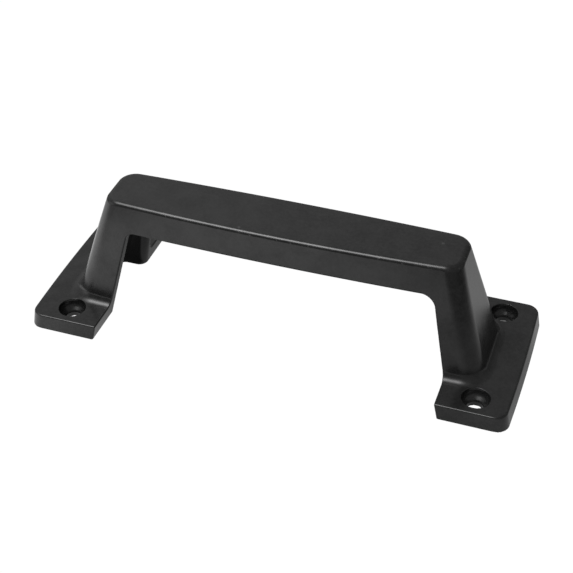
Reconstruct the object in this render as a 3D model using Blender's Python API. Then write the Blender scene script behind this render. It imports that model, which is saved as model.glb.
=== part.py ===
"""Fixed grab handle for a vehicle door: one hollow plastic bow standing on two feet.

The handle is a single injection moulding.  A leaning, round-cornered shell forms the grip bar
and both legs, a slanted window is cut through it for the hand, and a flat foot with two
countersunk screw holes carries each leg.  The underside is cored out, so the bar and the legs
are channels of even wall thickness.

The origin is the middle of the mounting face: X runs along the grip, Y across it, Z away from
the door.  Lengths are in metres.
"""
import math

import bpy
import bmesh

MM = 0.001

# Overall heights
TOTAL_HEIGHT = 44.6 * MM
WINDOW_HEIGHT = 34.5 * MM
FOOT_THICKNESS = 5.9 * MM

# Shell of the bar and legs, measured on its flat top; every side leans outwards going down
TOP_HALF_LENGTH = 61.3 * MM
TOP_HALF_WIDTH = 10.9 * MM
SIDE_LEAN = 0.18
END_LEAN = 0.305
TOP_CORNER_RADIUS = 5.4 * MM
BASE_CORNER_RADIUS = 6.5 * MM
TOP_EDGE_RADIUS = 1.2 * MM
ROOT_FILLET_RADIUS = 2.8 * MM

# The long sides are bowed: each falls back by bow * x^2 towards the ends.  The front is bowed
# more at its top edge than from the window downwards.
FRONT_BOW_TOP = 0.63
FRONT_BOW_BELOW = 0.26
BACK_BOW = 0.27

# Window for the hand
WINDOW_HALF_LENGTH = 60.7 * MM
WINDOW_LEAN = 0.223
WINDOW_CORNER_RADIUS = 4.0 * MM

# Coring of the underside
CORE_HALF_WIDTH = 13.8 * MM
CORE_HALF_LENGTH = 70.5 * MM
CORE_SIDE_LEAN = 0.16
CORE_END_LEAN = 0.30
CORE_CORNER_RADIUS = 3.0 * MM
TOP_WALL = 3.2 * MM

# The hollow's back wall is rounded off where it meets the slanted inner face of each leg; the
# rounding runs out below the bar
MOUTH_RADIUS = 3.2 * MM
MOUTH_RUN_OUT_RADIUS = 0.3 * MM
MOUTH_FULL_HEIGHT = 28.0 * MM
MOUTH_TOP = 33.5 * MM

# Feet
FOOT_HALF_DEPTH = 30.0 * MM
FOOT_OUTER_END = 84.8 * MM
FOOT_OVERLAP = 45.0 * MM
FOOT_CORNER_RADIUS = 4.2 * MM
FOOT_EDGE_RADIUS = 0.6 * MM
FOOT_SIDE_DRAFT = 0.035
FOOT_END_DRAFT = 0.17
FOOT_END_BOW = 0.7

# Screw holes for M5 countersunk screws
HOLE_SPACING_X = 143.0 * MM
HOLE_SPACING_Y = 45.0 * MM
HOLE_RADIUS = 2.65 * MM
HEAD_RADIUS = 4.7 * MM
HEAD_RECESS = 1.9 * MM

# Fineness of the curves
CORNER_STEPS = 7
SIDE_STEPS = 14
END_STEPS = 8
EDGE_STEPS = 3
FILLET_STEPS = 4
HOLE_STEPS = 32

CUT_MARGIN = 5.0 * MM
PLASTIC_COLOUR = (0.028, 0.028, 0.029, 1.0)
PLASTIC_ROUGHNESS = 0.42
SHARP_ANGLE = math.radians(25)


def clear_scene():
    for obj in list(bpy.context.scene.objects):
        bpy.data.objects.remove(obj, do_unlink=True)


def plastic_material():
    material = bpy.data.materials.new("black_plastic")
    material.use_nodes = True
    shader = material.node_tree.nodes["Principled BSDF"]
    shader.inputs["Base Color"].default_value = PLASTIC_COLOUR
    shader.inputs["Roughness"].default_value = PLASTIC_ROUGHNESS
    shader.inputs["Metallic"].default_value = 0.0
    return material


def even_steps(first, last, steps):
    """Values from first to last, both included, with equal spacing."""
    return [first + (last - first) * i / steps for i in range(steps + 1)]


def quarter_turn(steps):
    """Angles from 0 to 90 degrees."""
    return even_steps(0.0, math.pi / 2, steps)


def rounded_outline(half_length, front, back, radius, side_steps=1, end_steps=1):
    """Points of a closed outline with rounded corners, anticlockwise seen from above.

    front and back give y for an x on the long sides.  Each corner is a quarter circle measured
    from the bowed side, so it leaves the side and reaches the end without a kink.
    """
    turn = quarter_turn(CORNER_STEPS)
    flat = half_length - radius
    corner = [(flat + radius * math.sin(a), radius * (1 - math.cos(a))) for a in turn]
    side = even_steps(-flat, flat, side_steps)[1:-1]
    end = even_steps(front(half_length) + radius, back(half_length) - radius, end_steps)[1:-1]
    points = [(x, front(x)) for x in side]
    points += [(x, front(x) + rise) for x, rise in corner]
    points += [(half_length, y) for y in end]
    points += [(x, back(x) - rise) for x, rise in reversed(corner)]
    points += [(x, back(x)) for x in reversed(side)]
    points += [(-x, back(-x) - rise) for x, rise in corner]
    points += [(-half_length, y) for y in reversed(end)]
    points += [(-x, front(-x) + rise) for x, rise in reversed(corner)]
    return points


def bow_section(z, growth):
    """Outline of the outer shell at height z, pushed outwards by growth."""
    depth = TOTAL_HEIGHT - z
    half_width = TOP_HALF_WIDTH + SIDE_LEAN * depth + growth
    half_length = TOP_HALF_LENGTH + END_LEAN * depth + growth
    share = depth / TOTAL_HEIGHT
    radius = TOP_CORNER_RADIUS + (BASE_CORNER_RADIUS - TOP_CORNER_RADIUS) * share + growth
    to_window = min(1.0, depth / (TOTAL_HEIGHT - WINDOW_HEIGHT))
    front_bow = FRONT_BOW_TOP + (FRONT_BOW_BELOW - FRONT_BOW_TOP) * to_window

    def front(x):
        return front_bow * x * x - half_width

    def back(x):
        return half_width - BACK_BOW * x * x

    return rounded_outline(half_length, front, back, radius, side_steps=SIDE_STEPS)


def core_section(z):
    """Outline of the cored-out underside at height z."""
    half_width = CORE_HALF_WIDTH - CORE_SIDE_LEAN * z
    half_length = CORE_HALF_LENGTH - CORE_END_LEAN * z

    def front(x):
        return -half_width

    def back(x):
        return half_width

    return rounded_outline(half_length, front, back, CORE_CORNER_RADIUS)


def foot_section(inset, z):
    """Outline of one foot plate at height z.

    The plate runs on inwards under the grip bar by FOOT_OVERLAP; the window cutter takes that
    part off again, so that foot and leg share one slanted inner face.
    """
    middle = (FOOT_OUTER_END + WINDOW_HALF_LENGTH - FOOT_OVERLAP) / 2
    half_length = FOOT_OUTER_END - middle - inset - FOOT_END_DRAFT * z
    half_depth = FOOT_HALF_DEPTH - inset - FOOT_SIDE_DRAFT * z

    def front(x):
        return -half_depth

    def back(x):
        return half_depth

    radius = FOOT_CORNER_RADIUS - inset
    outline = rounded_outline(half_length, front, back, radius, end_steps=END_STEPS)
    return [(x + middle - FOOT_END_BOW * y * y, y) for x, y in outline]


def mesh_object(name, mesh_builder):
    mesh = bpy.data.meshes.new(name)
    bm = bmesh.new()
    mesh_builder(bm)
    bmesh.ops.recalc_face_normals(bm, faces=bm.faces)
    bm.to_mesh(mesh)
    bm.free()
    obj = bpy.data.objects.new(name, mesh)
    bpy.context.scene.collection.objects.link(obj)
    return obj


def loft(bm, rings):
    """Closed skin through rings of equal length, capped at both ends."""
    loops = [[bm.verts.new(point) for point in ring] for ring in rings]
    count = len(loops[0])
    for lower, upper in zip(loops, loops[1:]):
        for i in range(count):
            j = (i + 1) % count
            bm.faces.new((lower[i], lower[j], upper[j], upper[i]))
    bm.faces.new(list(reversed(loops[0])))
    bm.faces.new(loops[-1])


def at_height(outline, z):
    return [(x, y, z) for x, y in outline]


def build_bow(bm):
    """Outer shell, from the mounting face up over the root fillet to the rounded top edge."""
    rings = []
    fillet = quarter_turn(FILLET_STEPS)[1:]
    first_growth = ROOT_FILLET_RADIUS * (1 - math.sin(fillet[0]))
    rings.append(at_height(bow_section(0.0, first_growth), 0.0))
    for angle in fillet:
        z = FOOT_THICKNESS + ROOT_FILLET_RADIUS * (1 - math.cos(angle))
        growth = ROOT_FILLET_RADIUS * (1 - math.sin(angle))
        rings.append(at_height(bow_section(z, growth), z))
    rings.append(at_height(bow_section(WINDOW_HEIGHT, 0.0), WINDOW_HEIGHT))
    for angle in quarter_turn(EDGE_STEPS):
        z = TOTAL_HEIGHT - TOP_EDGE_RADIUS * (1 - math.sin(angle))
        inset = TOP_EDGE_RADIUS * (1 - math.cos(angle))
        rings.append(at_height(bow_section(z, -inset), z))
    loft(bm, rings)


def build_core(bm):
    heights = (-CUT_MARGIN, TOTAL_HEIGHT - TOP_WALL)
    loft(bm, [at_height(core_section(z), z) for z in heights])


def build_foot(bm):
    rings = [at_height(foot_section(0.0, 0.0), 0.0)]
    for angle in quarter_turn(EDGE_STEPS):
        z = FOOT_THICKNESS - FOOT_EDGE_RADIUS * (1 - math.sin(angle))
        inset = FOOT_EDGE_RADIUS * (1 - math.cos(angle))
        rings.append(at_height(foot_section(inset, z), z))
    loft(bm, rings)


def window_profile():
    """Half of the window's outline in X and Z, from the top middle down to below the feet."""
    lean_angle = math.atan(WINDOW_LEAN)
    reach = WINDOW_CORNER_RADIUS * math.tan((math.pi / 2 - lean_angle) / 2)
    corner_x = WINDOW_HALF_LENGTH - WINDOW_LEAN * WINDOW_HEIGHT
    centre_x = corner_x - reach
    centre_z = WINDOW_HEIGHT - WINDOW_CORNER_RADIUS
    sweep = even_steps(math.pi / 2, lean_angle, CORNER_STEPS)
    points = [
        (centre_x + WINDOW_CORNER_RADIUS * math.cos(a), centre_z + WINDOW_CORNER_RADIUS * math.sin(a))
        for a in sweep
    ]
    points.append((WINDOW_HALF_LENGTH + WINDOW_LEAN * CUT_MARGIN, -CUT_MARGIN))
    return points


def build_window(bm):
    right = window_profile()
    left = [(-x, z) for x, z in reversed(right)]
    outline = right + left
    reach = FOOT_HALF_DEPTH + CUT_MARGIN
    loft(bm, [[(x, y, z) for x, z in outline] for y in (-reach, reach)])


def mouth_section(z, radius):
    """Outline at height z that takes the corner between inner face and back wall off as an arc."""
    corner_x = WINDOW_HALF_LENGTH - WINDOW_LEAN * z
    corner_y = CORE_HALF_WIDTH - CORE_SIDE_LEAN * z
    centre_x = corner_x + radius
    centre_y = corner_y + radius
    arc = [
        (centre_x - radius * math.sin(a), centre_y - radius * math.cos(a))
        for a in quarter_turn(CORNER_STEPS)
    ]
    reach_x = corner_x - CUT_MARGIN
    reach_y = corner_y - CUT_MARGIN
    return [(reach_x, reach_y), (centre_x, reach_y)] + arc + [(reach_x, centre_y)]


def build_mouth(bm):
    levels = (
        (-CUT_MARGIN, MOUTH_RADIUS),
        (MOUTH_FULL_HEIGHT, MOUTH_RADIUS),
        (MOUTH_TOP, MOUTH_RUN_OUT_RADIUS),
    )
    loft(bm, [at_height(mouth_section(z, radius), z) for z, radius in levels])


def build_hole(bm):
    """Turned cutter for one screw hole: bore, 90 degree countersink and head recess."""
    seat_top = FOOT_THICKNESS - HEAD_RECESS
    seat_bottom = seat_top - (HEAD_RADIUS - HOLE_RADIUS)
    profile = (
        (HOLE_RADIUS, -CUT_MARGIN),
        (HOLE_RADIUS, seat_bottom),
        (HEAD_RADIUS, seat_top),
        (HEAD_RADIUS, FOOT_THICKNESS + CUT_MARGIN),
    )
    angles = [2 * math.pi * i / HOLE_STEPS for i in range(HOLE_STEPS)]
    rings = [[(r * math.cos(a), r * math.sin(a), z) for a in angles] for r, z in profile]
    loft(bm, rings)


def combine(target, tool, operation):
    """Boolean of target with tool, kept as a modifier; the tool is hidden."""
    modifier = target.modifiers.new(f"{operation.lower()}_{tool.name}", "BOOLEAN")
    modifier.operation = operation
    modifier.solver = "EXACT"
    modifier.object = tool
    tool.hide_render = True
    tool.display_type = "WIRE"
    tool.parent = target


def mirrored(mesh_builder):
    """The same shape on the -X side, with its faces turned the right way by mesh_object."""
    def build(bm):
        mesh_builder(bm)
        for vert in bm.verts:
            vert.co.x = -vert.co.x
    return build


def build_handle():
    handle = mesh_object("handle_body", build_bow)
    for name, builder in (("left", mirrored(build_foot)), ("right", build_foot)):
        combine(handle, mesh_object(f"{name}_foot_plate", builder), "UNION")
    combine(handle, mesh_object("window_cutter", build_window), "DIFFERENCE")
    combine(handle, mesh_object("core_cutter", build_core), "DIFFERENCE")
    for name, builder in (("left", mirrored(build_mouth)), ("right", build_mouth)):
        combine(handle, mesh_object(f"{name}_mouth_cutter", builder), "DIFFERENCE")
    hole = mesh_object("hole_cutter", build_hole)
    corners = [(side_x, side_y) for side_x in (-1, 1) for side_y in (-1, 1)]
    for index, (side_x, side_y) in enumerate(corners):
        cutter = bpy.data.objects.new(f"hole_cutter_{index}", hole.data)
        bpy.context.scene.collection.objects.link(cutter)
        cutter.location = (side_x * HOLE_SPACING_X / 2, side_y * HOLE_SPACING_Y / 2, 0.0)
        combine(handle, cutter, "DIFFERENCE")
    bpy.data.objects.remove(hole, do_unlink=True)
    handle.data.materials.append(plastic_material())
    handle.data.shade_smooth()
    handle.data.set_sharp_from_angle(angle=SHARP_ANGLE)
    return handle


clear_scene()
build_handle()
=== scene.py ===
"""The visible door grab handle: a finely moulded body in satin black plastic on a white sweep.

The body is an implicit surface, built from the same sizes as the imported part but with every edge
rounded, and meshed on a fine grid.  Sizes are in millimetres unless their comment says otherwise.
"""

import math

import bpy
import numpy as np
from mathutils import Matrix, Vector


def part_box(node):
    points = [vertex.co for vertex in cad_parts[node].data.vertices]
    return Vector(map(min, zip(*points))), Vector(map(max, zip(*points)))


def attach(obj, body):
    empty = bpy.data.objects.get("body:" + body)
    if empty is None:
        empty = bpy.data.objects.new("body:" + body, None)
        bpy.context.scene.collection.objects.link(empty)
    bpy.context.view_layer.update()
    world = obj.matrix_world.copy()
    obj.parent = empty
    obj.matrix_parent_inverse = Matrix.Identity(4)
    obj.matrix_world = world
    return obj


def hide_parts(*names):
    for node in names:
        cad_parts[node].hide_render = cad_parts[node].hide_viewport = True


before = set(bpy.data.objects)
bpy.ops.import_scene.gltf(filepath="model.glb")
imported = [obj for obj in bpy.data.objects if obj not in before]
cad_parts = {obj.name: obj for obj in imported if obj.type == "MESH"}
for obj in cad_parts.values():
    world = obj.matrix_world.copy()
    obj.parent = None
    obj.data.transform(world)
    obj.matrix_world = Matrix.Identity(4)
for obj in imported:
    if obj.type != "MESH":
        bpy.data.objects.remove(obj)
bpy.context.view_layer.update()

MM = 0.001

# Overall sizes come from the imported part
box_low, box_high = (np.array(corner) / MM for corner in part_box("handle_body"))
FOOT_END = float(box_high[0])
FOOT_HALF_DEPTH = float(box_high[1])
HEIGHT = float(box_high[2])

# Shell of the bar and legs, on its flat top; a lean is a slope, a bow is per millimetre, and a
# shift moves a part's outside along X
TOP_HALF_LENGTH = 61.3
TOP_HALF_WIDTH = 10.9
SIDE_LEAN = 0.18
END_LEAN = 0.305
TOP_CORNER_RADIUS = 5.4
BASE_CORNER_RADIUS = 7.5
FRONT_BOW_TOP = 0.60e-3
FRONT_BOW_BELOW = 0.26e-3
FRONT_BOW_DEPTH = 22.0
BACK_BOW = 0.27e-3
SHELL_SHIFT = -1.0

# Window for the hand, hollow underside and feet.  The window's corner radius changes from left to
# right within WINDOW_BLEND_REACH of the middle; the mouth is where the hollow opens into the window,
# and its rounding fades in from front to back and out again towards MOUTH_TOP.
WINDOW_HEIGHT = 34.5
WINDOW_HALF_LENGTH = 60.7
WINDOW_LEAN = 0.223
WINDOW_LEFT_RADIUS = 2.4
WINDOW_RIGHT_RADIUS = 4.0
WINDOW_BLEND_REACH = 30.0
CORE_HALF_WIDTH = 13.8
CORE_HALF_LENGTH = 70.5
CORE_SIDE_LEAN = 0.16
CORE_END_LEAN = 0.30
CORE_CORNER_RADIUS = 3.0
CORE_TOP_RADIUS = 1.0
TOP_WALL = 3.2
MOUTH_RADIUS = 3.2
MOUTH_FULL_HEIGHT = 28.0
MOUTH_TOP = 33.5
MOUTH_BLEND_FRONT = -2.0
MOUTH_BLEND_BACK = 6.0
FOOT_THICKNESS = 5.9
FOOT_SIDE_DRAFT = 0.035
FOOT_END_DRAFT = 0.17
FOOT_END_BOW = 0.7e-3
FOOT_CORNER_RADIUS = 4.2
FOOT_SHIFT = -0.7

# Screw holes: bore, countersink at 45 degrees to the axis and head recess
HOLE_X = 71.5
HOLE_Y = 22.5
HOLE_RADIUS = 2.65
HEAD_RADIUS = 4.7
HEAD_RECESS = 1.9

# Edge roundings; a blend runs from one radius to the other between its two places
TOP_EDGE_RADIUS = 1.2
TOP_END_EDGE_RADIUS = 1.6
TOP_EDGE_BLEND = (54.0, 62.0)
ROOT_FILLET_RADIUS = 2.8
LEFT_FILLET_RADIUS = 3.4
RIGHT_FILLET_RADIUS = 2.5
FILLET_BLEND = (58.0, 76.0)
FOOT_EDGE_RADIUS = 0.6
WINDOW_EDGE_RADIUS = 0.5
BASE_EDGE_RADIUS = 0.12
HOLE_EDGE_RADIUS = 0.12
HOLE_BASE_RADIUS = 0.05
HOLE_EDGE_BLEND = (1.0, 3.0)
SEAT_CORNER_RADIUS = 0.9
SEAT_EDGE_RADIUS = 0.4

# Meshing, and moving the mesh's points onto the surface
GRID_STEP = 0.34
GRID_MARGIN = 1.0
MOST_TRIANGLES = 180_000
SNAP_ROUNDS = 3
LONGEST_SNAP = 0.3
LEAST_SLOPE_SQUARED = 0.2
NORMAL_STEP = 0.02


def smooth_step(value, low, high):
    """0 up to low, 1 from high on, with a smooth rise between them."""
    share = np.clip((value - low) / (high - low), 0.0, 1.0)
    return share * share * (3.0 - 2.0 * share)


def both(a, b, radius):
    """Inside both fields, with the edge between them rounded to radius."""
    outside = np.hypot(np.maximum(a + radius, 0.0), np.maximum(b + radius, 0.0))
    return np.minimum(np.maximum(a, b), -radius) + outside


def either(a, b, radius):
    """Inside either field, with the corner between them filled to radius."""
    return -both(-a, -b, radius)


def shell_field(x, y, z):
    """Outer shell of the bar and legs: leaning sides, bowed front and back, rounded corners."""
    along = x - SHELL_SHIFT
    reach = np.abs(along)
    depth = HEIGHT - z
    half_length = TOP_HALF_LENGTH + END_LEAN * depth
    half_width = TOP_HALF_WIDTH + SIDE_LEAN * depth
    radius = TOP_CORNER_RADIUS + (BASE_CORNER_RADIUS - TOP_CORNER_RADIUS) * depth / HEIGHT
    above = np.clip(1.0 - depth / FRONT_BOW_DEPTH, 0.0, 1.0) ** 2
    front_bow = FRONT_BOW_BELOW + (FRONT_BOW_TOP - FRONT_BOW_BELOW) * above
    front = front_bow * along * along - half_width - y
    back = y + BACK_BOW * along * along - half_width
    side = both(reach - half_length, np.maximum(front, back), radius)
    at_end = smooth_step(reach, *TOP_EDGE_BLEND)
    edge = TOP_EDGE_RADIUS + (TOP_END_EDGE_RADIUS - TOP_EDGE_RADIUS) * at_end
    return both(side, z - HEIGHT, edge)


def foot_field(x, y, z):
    """Both foot plates as one slab with drafted sides; the window parts them."""
    end = np.abs(x - FOOT_SHIFT) - (FOOT_END - FOOT_END_BOW * y * y - FOOT_END_DRAFT * z)
    side = np.abs(y) - (FOOT_HALF_DEPTH - FOOT_SIDE_DRAFT * z)
    plate = both(end, side, FOOT_CORNER_RADIUS)
    return both(plate, z - FOOT_THICKNESS, FOOT_EDGE_RADIUS)


def window_field(x, y, z):
    """The slanted opening between the legs, open downwards."""
    lean = math.hypot(1.0, WINDOW_LEAN)
    side = (np.abs(x) - WINDOW_HALF_LENGTH + WINDOW_LEAN * z) / lean
    rightwards = smooth_step(x, -WINDOW_BLEND_REACH, WINDOW_BLEND_REACH)
    radius = WINDOW_LEFT_RADIUS + (WINDOW_RIGHT_RADIUS - WINDOW_LEFT_RADIUS) * rightwards
    return both(side, z - WINDOW_HEIGHT, radius)


def core_field(x, y, z):
    """The cored-out inside of the bar and legs."""
    end = np.abs(x) - CORE_HALF_LENGTH + CORE_END_LEAN * z
    side = np.abs(y) - CORE_HALF_WIDTH + CORE_SIDE_LEAN * z
    return both(both(end, side, CORE_CORNER_RADIUS), z - (HEIGHT - TOP_WALL), CORE_TOP_RADIUS)


def hole_field(x, y, z):
    """All four screw holes: bore, 90 degree countersink and head recess."""
    radial = np.hypot(np.abs(x) - HOLE_X, np.abs(y) - HOLE_Y)
    seat_bottom = FOOT_THICKNESS - HEAD_RECESS - (HEAD_RADIUS - HOLE_RADIUS)
    cone = (radial - HOLE_RADIUS - (z - seat_bottom)) * math.sqrt(0.5)
    seat = both(cone, radial - HEAD_RADIUS, SEAT_CORNER_RADIUS)
    return either(radial - HOLE_RADIUS, seat, SEAT_EDGE_RADIUS)


def handle_field(x, y, z):
    """Below zero inside the plastic; close to a distance in millimetres near its surface."""
    at_left = smooth_step(-x, *FILLET_BLEND)
    at_right = smooth_step(x, *FILLET_BLEND)
    root = (
        ROOT_FILLET_RADIUS
        + (LEFT_FILLET_RADIUS - ROOT_FILLET_RADIUS) * at_left
        + (RIGHT_FILLET_RADIUS - ROOT_FILLET_RADIUS) * at_right
    )
    solid = either(shell_field(x, y, z), foot_field(x, y, z), root)
    solid = both(solid, -z, BASE_EDGE_RADIUS)
    at_back = smooth_step(y, MOUTH_BLEND_FRONT, MOUTH_BLEND_BACK)
    below_bar = 1.0 - smooth_step(z, MOUTH_FULL_HEIGHT, MOUTH_TOP)
    mouth = WINDOW_EDGE_RADIUS + (MOUTH_RADIUS - WINDOW_EDGE_RADIUS) * at_back * below_bar
    hollow = either(window_field(x, y, z), core_field(x, y, z), mouth)
    solid = both(solid, -hollow, WINDOW_EDGE_RADIUS)
    at_top = smooth_step(z, *HOLE_EDGE_BLEND)
    rim = HOLE_BASE_RADIUS + (HOLE_EDGE_RADIUS - HOLE_BASE_RADIUS) * at_top
    return both(solid, -hole_field(x, y, z), rim)


def grid_axes():
    """Places of the grid planes along each axis, a margin wider than the part."""
    low = box_low - GRID_MARGIN
    high = box_high + GRID_MARGIN
    counts = np.ceil((high - low) / GRID_STEP).astype(int) + 1
    return [low[i] + GRID_STEP * np.arange(counts[i]) for i in range(3)]


def sample_field(axes):
    xs, ys, zs = (axis.astype(np.float32) for axis in axes)
    field = np.empty((len(xs), len(ys), len(zs)), np.float32)
    for k, z in enumerate(zs):
        field[:, :, k] = handle_field(xs[:, None], ys[None, :], z)
    return field


CUBE_CORNERS = [(i, j, k) for i in (0, 1) for j in (0, 1) for k in (0, 1)]
CUBE_EDGES = [
    (a, b)
    for a in range(8)
    for b in range(a + 1, 8)
    if sum(abs(p - q) for p, q in zip(CUBE_CORNERS[a], CUBE_CORNERS[b])) == 1
]


def net_points(field, axes):
    """One point for every grid cell that the surface passes through, and the cells' numbering."""
    inside = field < 0
    cells = tuple(n - 1 for n in field.shape)
    count = np.zeros(cells, np.uint8)
    for i, j, k in CUBE_CORNERS:
        count += inside[i:i + cells[0], j:j + cells[1], k:k + cells[2]]
    crossed = np.argwhere((count > 0) & (count < 8))
    number = np.full(cells, -1, np.int32)
    number[tuple(crossed.T)] = np.arange(len(crossed))
    values = np.stack([field[tuple((crossed + corner).T)] for corner in CUBE_CORNERS], 1)
    total = np.zeros((len(crossed), 3))
    hits = np.zeros(len(crossed))
    for a, b in CUBE_EDGES:
        hit = (values[:, a] < 0) != (values[:, b] < 0)
        gap = np.where(hit, values[:, a] - values[:, b], 1.0)
        share = np.where(hit, values[:, a] / gap, 0.0)
        start, stop = np.array(CUBE_CORNERS[a]), np.array(CUBE_CORNERS[b])
        total += np.where(hit[:, None], start + share[:, None] * (stop - start), 0.0)
        hits += hit
    low = np.array([axis[0] for axis in axes])
    return low + GRID_STEP * (crossed + total / hits[:, None]), number


def net_quads(field, number):
    """A quad round every grid edge that the surface crosses, facing outwards."""
    inside = field < 0
    quads = []
    for axis in range(3):
        u, v = (axis + 1) % 3, (axis + 2) % 3
        first = np.take(inside, range(field.shape[axis] - 1), axis)
        last = np.take(inside, range(1, field.shape[axis]), axis)
        crossings = np.argwhere(first != last)
        outward = first[tuple(crossings.T)]
        step_u = np.zeros(3, int)
        step_v = np.zeros(3, int)
        step_u[u] = 1
        step_v[v] = 1
        ring = [crossings - step_u - step_v, crossings - step_v, crossings, crossings - step_u]
        quad = np.stack([number[tuple(cell.T)] for cell in ring], 1)
        quads.append(np.where(outward[:, None], quad, quad[:, ::-1]))
    return np.concatenate(quads)


def field_gradient(points):
    columns = []
    for axis in range(3):
        step = np.zeros(3)
        step[axis] = NORMAL_STEP
        ahead = handle_field(*(points + step).T)
        behind = handle_field(*(points - step).T)
        columns.append((ahead - behind) / (2 * NORMAL_STEP))
    return np.stack(columns, 1)


def snap(points):
    """Moves points onto the surface, and gives the surface's normals there."""
    for _ in range(SNAP_ROUNDS):
        gradient = field_gradient(points)
        slope_squared = np.maximum((gradient ** 2).sum(1), LEAST_SLOPE_SQUARED)
        step = -handle_field(*points.T) / slope_squared
        points = points + gradient * np.clip(step, -LONGEST_SNAP, LONGEST_SNAP)[:, None]
    gradient = field_gradient(points)
    return points, gradient / np.linalg.norm(gradient, axis=1)[:, None]


def mesh_points(mesh):
    flat = np.empty(len(mesh.vertices) * 3)
    mesh.vertices.foreach_get("co", flat)
    return flat.reshape(-1, 3)


def quad_mesh(name, points, quads):
    mesh = bpy.data.meshes.new(name)
    mesh.vertices.add(len(points))
    mesh.vertices.foreach_set("co", points.ravel())
    mesh.loops.add(quads.size)
    mesh.loops.foreach_set("vertex_index", quads.ravel())
    mesh.polygons.add(len(quads))
    mesh.polygons.foreach_set("loop_start", np.arange(len(quads)) * 4)
    mesh.update(calc_edges=True)
    mesh.validate()
    return mesh


def thinned(obj):
    """The object's mesh with the flat stretches collapsed to large triangles."""
    modifier = obj.modifiers.new("thin", "DECIMATE")
    modifier.ratio = min(1.0, MOST_TRIANGLES / (2 * len(obj.data.polygons)))
    graph = bpy.context.evaluated_depsgraph_get()
    mesh = bpy.data.meshes.new_from_object(obj.evaluated_get(graph), depsgraph=graph)
    obj.modifiers.clear()
    return mesh


def build_body():
    axes = grid_axes()
    field = sample_field(axes)
    points, number = net_points(field, axes)
    points, _ = snap(points)
    mesh = quad_mesh("moulded_body", points, net_quads(field, number))
    obj = bpy.data.objects.new("moulded_body", mesh)
    bpy.context.scene.collection.objects.link(obj)
    obj.data = thinned(obj)
    points, normals = snap(mesh_points(obj.data))
    obj.data.vertices.foreach_set("co", (points * MM).ravel())
    obj.data.update()
    obj.data.shade_smooth()
    obj.data.normals_split_custom_set_from_vertices(normals.tolist())
    return obj


class Nodes:
    """Short calls for building a node tree."""

    def __init__(self, tree):
        self.tree = tree
        tree.nodes.clear()

    def add(self, kind, settings=None, **inputs):
        node = self.tree.nodes.new(kind)
        for name, value in (settings or {}).items():
            setattr(node, name, value)
        for name, value in inputs.items():
            self.feed(node.inputs[name.replace("_", " ")], value)
        return node

    def feed(self, socket, value):
        if isinstance(value, bpy.types.NodeSocket):
            self.tree.links.new(value, socket)
        else:
            socket.default_value = value

    def math(self, operation, a, b=0.0):
        node = self.tree.nodes.new("ShaderNodeMath")
        node.operation = operation
        self.feed(node.inputs[0], a)
        self.feed(node.inputs[1], b)
        return node.outputs[0]

    def spread(self, value, low, high, to_low, to_high):
        """Value from low to high, smoothly spread over to_low to to_high."""
        node = self.tree.nodes.new("ShaderNodeMapRange")
        node.interpolation_type = "SMOOTHSTEP"
        for socket, number in zip(node.inputs, (value, low, high, to_low, to_high)):
            self.feed(socket, number)
        return node.outputs[0]

    def show(self, glow, light_kind, output_kind, seen=None):
        """Lights the output with glow, but shows seen, or else plain white, to the camera."""
        camera_ray = self.add("ShaderNodeLightPath").outputs["Is Camera Ray"]
        seen = self.math("MULTIPLY", camera_ray, WHITE if seen is None else seen)
        unseen = self.math("MULTIPLY", glow, self.math("SUBTRACT", 1.0, camera_ray))
        light = self.add(light_kind, Color=grey(1.0), Strength=self.math("ADD", seen, unseen))
        self.feed(self.add(output_kind).inputs["Surface"], light.outputs[0])

    def mix(self, share, a, b):
        """Colour a, or b by share; the node keeps its colour sockets at these places."""
        node = self.tree.nodes.new("ShaderNodeMix")
        node.data_type = "RGBA"
        self.feed(node.inputs["Factor"], share)
        self.feed(node.inputs[6], a)
        self.feed(node.inputs[7], b)
        return node.outputs[2]


def grey(value):
    return (value, value, value, 1.0)


# Plastic: noise scales are waves per metre, greys are linear, sheen is the specular level
CLOUD_SCALE = 38.0
SMUDGE_SCALE = 140.0
NICK_SCALE = 650.0
MOTTLE_SCALE = 900.0
GRAIN_SCALE = 3800.0
MIDDLE_NOISE = (0.35, 0.65)
WIDE_NOISE = (0.3, 0.7)
DARK_GREY = 0.0070
CLOUD_GREY = 0.0100
MOTTLE_GREY = 0.0130
MOTTLE_STRENGTH = 0.5
ROUGHNESS = (0.19, 0.24)
MOTTLE_ROUGHNESS = 0.02
SHEEN = (0.45, 0.56)
MOTTLE_SHEEN = 0.03
GRAIN_STRENGTH = 0.12
GRAIN_HEIGHT = 0.00006
LEVEL_NORMAL = (0.80, 0.97)

# Dust specks, worn nicks on the top rim, and painted shade on the feet: a duller sheen on their level
# tops
DUST_CELLS = 230.0
DUST_SHARE = 0.12
DUST_SPECK = (0.08, 0.26)
DUST_UNEVENNESS = 0.12
DUST_STRENGTH = 0.5
DUST_GREY = 0.07
RIM_BAND = (1.4, 0.9)
NICK_NOISE = (0.62, 0.70)
NICK_STRENGTH = 0.6
NICK_GREY = 0.06
# Painted shade on the feet's tops: the rise above the plate over which it fades out, and the sheen it
# takes away
FOOT_SHADE_BAND = (0.5, 2.5)
FOOT_SHADE_STRENGTH = 0.07


def dust_specks(nodes, place, mottle):
    """A soft speck in some cells of a cell pattern, its outline made uneven by the mottling."""
    cells = nodes.add("ShaderNodeTexVoronoi", Vector=place, Scale=DUST_CELLS)
    cell_number = nodes.add("ShaderNodeSeparateColor", Color=cells.outputs["Color"]).outputs[0]
    picked = nodes.math("GREATER_THAN", cell_number, 1.0 - DUST_SHARE)
    unevenness = nodes.math("MULTIPLY", mottle, DUST_UNEVENNESS)
    from_centre = nodes.math("ADD", cells.outputs["Distance"], unevenness)
    return nodes.math("MULTIPLY", picked, nodes.spread(from_centre, *DUST_SPECK, 1.0, 0.0))


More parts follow.
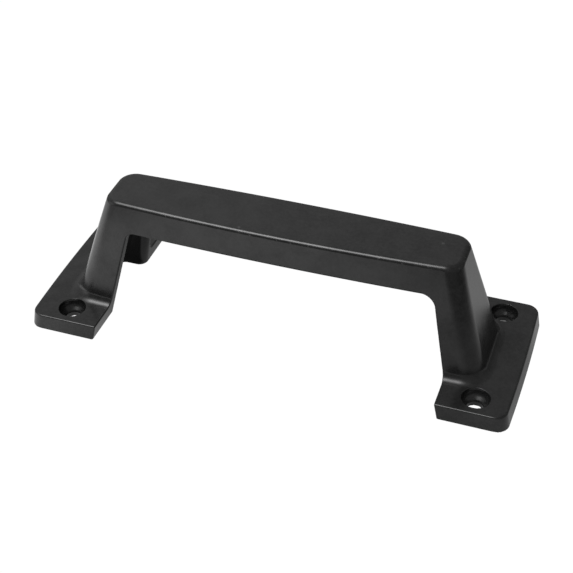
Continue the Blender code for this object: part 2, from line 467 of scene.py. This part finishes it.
def rim_nicks(nodes, height, upright, scratch):
    """Worn spots on the rounded rim of the bar's flat top."""
    start, stop = ((HEIGHT - drop) * MM for drop in RIM_BAND)
    near_top = nodes.spread(height, start, stop, 0.0, 1.0)
    on_rim = nodes.math("MULTIPLY", near_top, nodes.spread(upright, *LEVEL_NORMAL, 1.0, 0.0))
    return nodes.math("MULTIPLY", on_rim, nodes.spread(scratch, *NICK_NOISE, 0.0, 1.0))


def foot_painted_shade(nodes, height, upright):
    """Painted shade: a duller sheen on the level tops of the feet, standing in for the shade there."""
    start, stop = ((FOOT_THICKNESS + rise) * MM for rise in FOOT_SHADE_BAND)
    over_foot = nodes.spread(height, start, stop, 1.0, 0.0)
    return nodes.math("MULTIPLY", over_foot, nodes.spread(upright, *LEVEL_NORMAL, 0.0, 1.0))


def plastic_material():
    """Satin black plastic with grain, mottling, uneven sheen, dust and wear, and painted shade on the
    feet's tops.
    """
    material = bpy.data.materials.new("satin_black_plastic")
    material.use_nodes = True
    nodes = Nodes(material.node_tree)
    place = nodes.add("ShaderNodeTexCoord").outputs["Object"]
    height = nodes.add("ShaderNodeSeparateXYZ", Vector=place).outputs[2]
    facing = nodes.add("ShaderNodeNewGeometry").outputs["Normal"]
    upright = nodes.add("ShaderNodeSeparateXYZ", Vector=facing).outputs[2]

    def noise(scale, detail, roughness):
        settings = {"Scale": scale, "Detail": detail, "Roughness": roughness}
        return nodes.add("ShaderNodeTexNoise", Vector=place, **settings).outputs["Fac"]

    cloud = noise(CLOUD_SCALE, detail=3.0, roughness=0.5)
    smudge = noise(SMUDGE_SCALE, detail=4.0, roughness=0.6)
    mottle = noise(MOTTLE_SCALE, detail=2.0, roughness=0.6)
    grain = noise(GRAIN_SCALE, detail=2.0, roughness=0.6)
    dust = dust_specks(nodes, place, mottle)
    scratch = noise(NICK_SCALE, detail=2.0, roughness=0.7)
    nicks = rim_nicks(nodes, height, upright, scratch)
    foot_shade = foot_painted_shade(nodes, height, upright)

    base = nodes.mix(nodes.spread(cloud, *MIDDLE_NOISE, 0.0, 1.0), grey(DARK_GREY), grey(CLOUD_GREY))
    base = nodes.mix(nodes.spread(mottle, *MIDDLE_NOISE, 0.0, MOTTLE_STRENGTH), base, grey(MOTTLE_GREY))
    base = nodes.mix(nodes.math("MULTIPLY", dust, DUST_STRENGTH), base, grey(DUST_GREY))
    base = nodes.mix(nodes.math("MULTIPLY", nicks, NICK_STRENGTH), base, grey(NICK_GREY))
    roughness = nodes.math(
        "ADD",
        nodes.spread(smudge, *WIDE_NOISE, *ROUGHNESS),
        nodes.spread(mottle, *WIDE_NOISE, -MOTTLE_ROUGHNESS, MOTTLE_ROUGHNESS),
    )
    sheen = nodes.math(
        "ADD",
        nodes.spread(smudge, *MIDDLE_NOISE, *SHEEN),
        nodes.spread(mottle, *WIDE_NOISE, -MOTTLE_SHEEN, MOTTLE_SHEEN),
    )
    # Painted shade: the sheen is lowered on the level tops of the feet
    sheen = nodes.math("SUBTRACT", sheen, nodes.math("MULTIPLY", foot_shade, FOOT_SHADE_STRENGTH))
    bump = nodes.add(
        "ShaderNodeBump", Height=grain, Strength=GRAIN_STRENGTH, Distance=GRAIN_HEIGHT
    )
    shader = nodes.add(
        "ShaderNodeBsdfPrincipled",
        Base_Color=base,
        Roughness=roughness,
        IOR=1.5,
        Specular_IOR_Level=sheen,
        Normal=bump.outputs["Normal"],
    )
    output = nodes.add("ShaderNodeOutputMaterial")
    nodes.feed(output.inputs["Surface"], shader.outputs[0])
    return material


# How bright the floor and the tent look to the camera, and the floor through the back holes
WHITE = 1.02
SHADED_WHITE = 0.14

# What reflections see: glows on the floor (name, x, y, spread, strength) in metres, and glows of
# the tent (name, azimuth from +Y towards +X, elevation, sharpness, strength)
FLOOR_BASE = 0.12
FLOOR_GLOWS = (
    ("front", 0.00, -0.12, 0.050, 0.5),
    ("front_left", -0.10, -0.12, 0.050, 0.65),
    ("right", 0.18, -0.04, 0.060, 0.2),
    ("left", -0.16, -0.02, 0.045, 0.9),
    ("near_front_left", -0.08, -0.045, 0.022, 0.4),
    ("near_front_right", 0.08, -0.045, 0.022, 0.35),
    ("near_left_back", -0.10, 0.03, 0.020, 0.7),
    ("near_right_back", 0.10, 0.04, 0.020, 0.25),
    ("right_back", 0.13, 0.08, 0.045, 0.5),
    ("far_front", 0.00, -0.25, 0.090, 0.7),
    ("far_front_left", -0.20, -0.22, 0.080, 0.8),
    ("far_left", -0.27, -0.04, 0.070, 0.9),
    ("far_back", 0.00, 0.30, 0.100, 0.4),
)
TENT_BASE = 0.27
TENT_GLOWS = (
    ("back_left", -45.0, 38.0, 8.0, 0.35),
    ("low_back_right", 42.0, 6.0, 12.0, -0.14),
    ("low_left", -112.0, 5.0, 18.0, 0.75),
    ("low_front", -160.0, 6.0, 10.0, -0.10),
    ("overhead", 219.0, 65.0, 30.0, 10.0),
    ("overhead_left", 255.0, 62.0, 24.0, 1.5),
)


# Floor sizes in metres; the hollow's footprint keeps HOLLOW_SHADE of the floor's glow
FLOOR_HALF_SIZE = 3.0
FLOOR_DROP = 0.00005
HOLLOW_SHADE = 0.15
HOLLOW_SHADE_BLUR = 0.001
HOLE_SHADE_BLUR = 0.0001


def glow_sum(nodes, base, glows):
    """base plus strength times shape for every (name, shape, strength)."""
    total = nodes.math("ADD", 0.0, base)
    total.node.label = "base"
    for name, shape, strength in glows:
        part = nodes.math("MULTIPLY", shape, strength)
        part.node.label = name
        total = nodes.math("ADD", total, part)
    return total


def outside_box(nodes, x, y, middle, half):
    """How far x and y, in metres, lie outside a box that middle and half give in millimetres."""
    beyond = []
    for value, centre, reach in zip((x, y), middle, half):
        off_centre = nodes.math("ABSOLUTE", nodes.math("SUBTRACT", value, centre * MM))
        beyond.append(nodes.math("SUBTRACT", off_centre, reach * MM))
    return nodes.math("MAXIMUM", *beyond)


def floor_material():
    """White to the camera; to reflections a pale sweep that is dark inside the hollow legs."""
    material = bpy.data.materials.new("white_sweep")
    material.use_nodes = True
    nodes = Nodes(material.node_tree)
    place = nodes.add("ShaderNodeNewGeometry").outputs["Position"]
    parts = nodes.add("ShaderNodeSeparateXYZ", Vector=place).outputs
    reach = nodes.math("ABSOLUTE", parts[0])
    hollow_middle = ((CORE_HALF_LENGTH + WINDOW_HALF_LENGTH) / 2, 0.0)
    hollow_half = ((CORE_HALF_LENGTH - WINDOW_HALF_LENGTH) / 2, CORE_HALF_WIDTH)
    from_hollow = outside_box(nodes, reach, parts[1], hollow_middle, hollow_half)
    lit = nodes.spread(from_hollow, -HOLLOW_SHADE_BLUR, HOLLOW_SHADE_BLUR, HOLLOW_SHADE, 1.0)
    from_hole = outside_box(nodes, reach, parts[1], (HOLE_X, HOLE_Y), (HEAD_RADIUS, HEAD_RADIUS))
    seen = nodes.spread(from_hole, 0.0, HOLE_SHADE_BLUR, SHADED_WHITE, WHITE)
    glows = []
    for name, x, y, size, strength in FLOOR_GLOWS:
        offset = nodes.add("ShaderNodeVectorMath", {"operation": "DISTANCE"})
        nodes.feed(offset.inputs[0], place)
        nodes.feed(offset.inputs[1], (x, y, 0.0))
        ratio = nodes.math("DIVIDE", offset.outputs["Value"], size * math.sqrt(2))
        squared = nodes.math("MULTIPLY", ratio, ratio)
        shape = nodes.math("EXPONENT", nodes.math("MULTIPLY", squared, -1.0))
        glows.append((name, shape, strength))
    glow = nodes.math("MULTIPLY", glow_sum(nodes, FLOOR_BASE, glows), lit)
    nodes.show(glow, "ShaderNodeEmission", "ShaderNodeOutputMaterial", seen)
    return material


def build_floor(material):
    mesh = bpy.data.meshes.new("floor")
    size = FLOOR_HALF_SIZE
    corners = [(-size, -size, 0.0), (size, -size, 0.0), (size, size, 0.0), (-size, size, 0.0)]
    mesh.from_pydata(corners, [], [(0, 1, 2, 3)])
    mesh.materials.append(material)
    floor = bpy.data.objects.new("floor", mesh)
    floor.location.z = -FLOOR_DROP
    bpy.context.scene.collection.objects.link(floor)


def build_world():
    """White to the camera; a soft tent to everything else, dim at the horizon."""
    world = bpy.data.worlds.new("tent")
    bpy.context.scene.world = world
    world.use_nodes = True
    nodes = Nodes(world.node_tree)
    direction = nodes.add("ShaderNodeTexCoord").outputs["Generated"]
    glows = []
    for name, azimuth, elevation, sharpness, strength in TENT_GLOWS:
        turn, rise = math.radians(azimuth), math.radians(elevation)
        axis = (math.sin(turn) * math.cos(rise), math.cos(turn) * math.cos(rise), math.sin(rise))
        facing = nodes.add("ShaderNodeVectorMath", {"operation": "DOT_PRODUCT"})
        nodes.feed(facing.inputs[0], direction)
        nodes.feed(facing.inputs[1], axis)
        away = nodes.math("SUBTRACT", facing.outputs["Value"], 1.0)
        shape = nodes.math("EXPONENT", nodes.math("MULTIPLY", away, sharpness))
        glows.append((name, shape, strength))
    glow = glow_sum(nodes, TENT_BASE, glows)
    nodes.show(glow, "ShaderNodeBackground", "ShaderNodeOutputWorld")


# Camera, placed round a point near the middle of the handle: metres, radians, lens in millimetres
CAMERA_AZIMUTH = math.radians(19.499)
CAMERA_ELEVATION = math.radians(38.609)
CAMERA_ROLL = math.radians(-0.637)
CAMERA_DISTANCE = 0.4425
CAMERA_TARGET = Vector((-0.00024, 0.0, 0.01623))
CAMERA_LENS = 81.32
CAMERA_SENSOR = 36.0
CAMERA_CLIP_START = 0.01
CAMERA_CLIP_END = 20.0


def add_camera():
    data = bpy.data.cameras.new("camera")
    data.lens = CAMERA_LENS
    data.sensor_width = CAMERA_SENSOR
    data.clip_start = CAMERA_CLIP_START
    data.clip_end = CAMERA_CLIP_END
    camera = bpy.data.objects.new("camera", data)
    flat = math.cos(CAMERA_ELEVATION)
    back = Vector((
        math.sin(CAMERA_AZIMUTH) * flat,
        -math.cos(CAMERA_AZIMUTH) * flat,
        math.sin(CAMERA_ELEVATION),
    ))
    right = Vector((math.cos(CAMERA_AZIMUTH), math.sin(CAMERA_AZIMUTH), 0.0))
    up = back.cross(right)
    turned_right = right * math.cos(CAMERA_ROLL) + up * math.sin(CAMERA_ROLL)
    turned_up = up * math.cos(CAMERA_ROLL) - right * math.sin(CAMERA_ROLL)
    rotation = Matrix((turned_right, turned_up, back)).transposed().to_4x4()
    camera.matrix_world = Matrix.Translation(CAMERA_TARGET + back * CAMERA_DISTANCE) @ rotation
    bpy.context.scene.collection.objects.link(camera)
    bpy.context.scene.camera = camera


body = build_body()
body.data.materials.append(plastic_material())
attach(body, "root")
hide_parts("handle_body")

build_floor(floor_material())
build_world()
add_camera()
bpy.context.scene.view_settings.view_transform = "Standard"
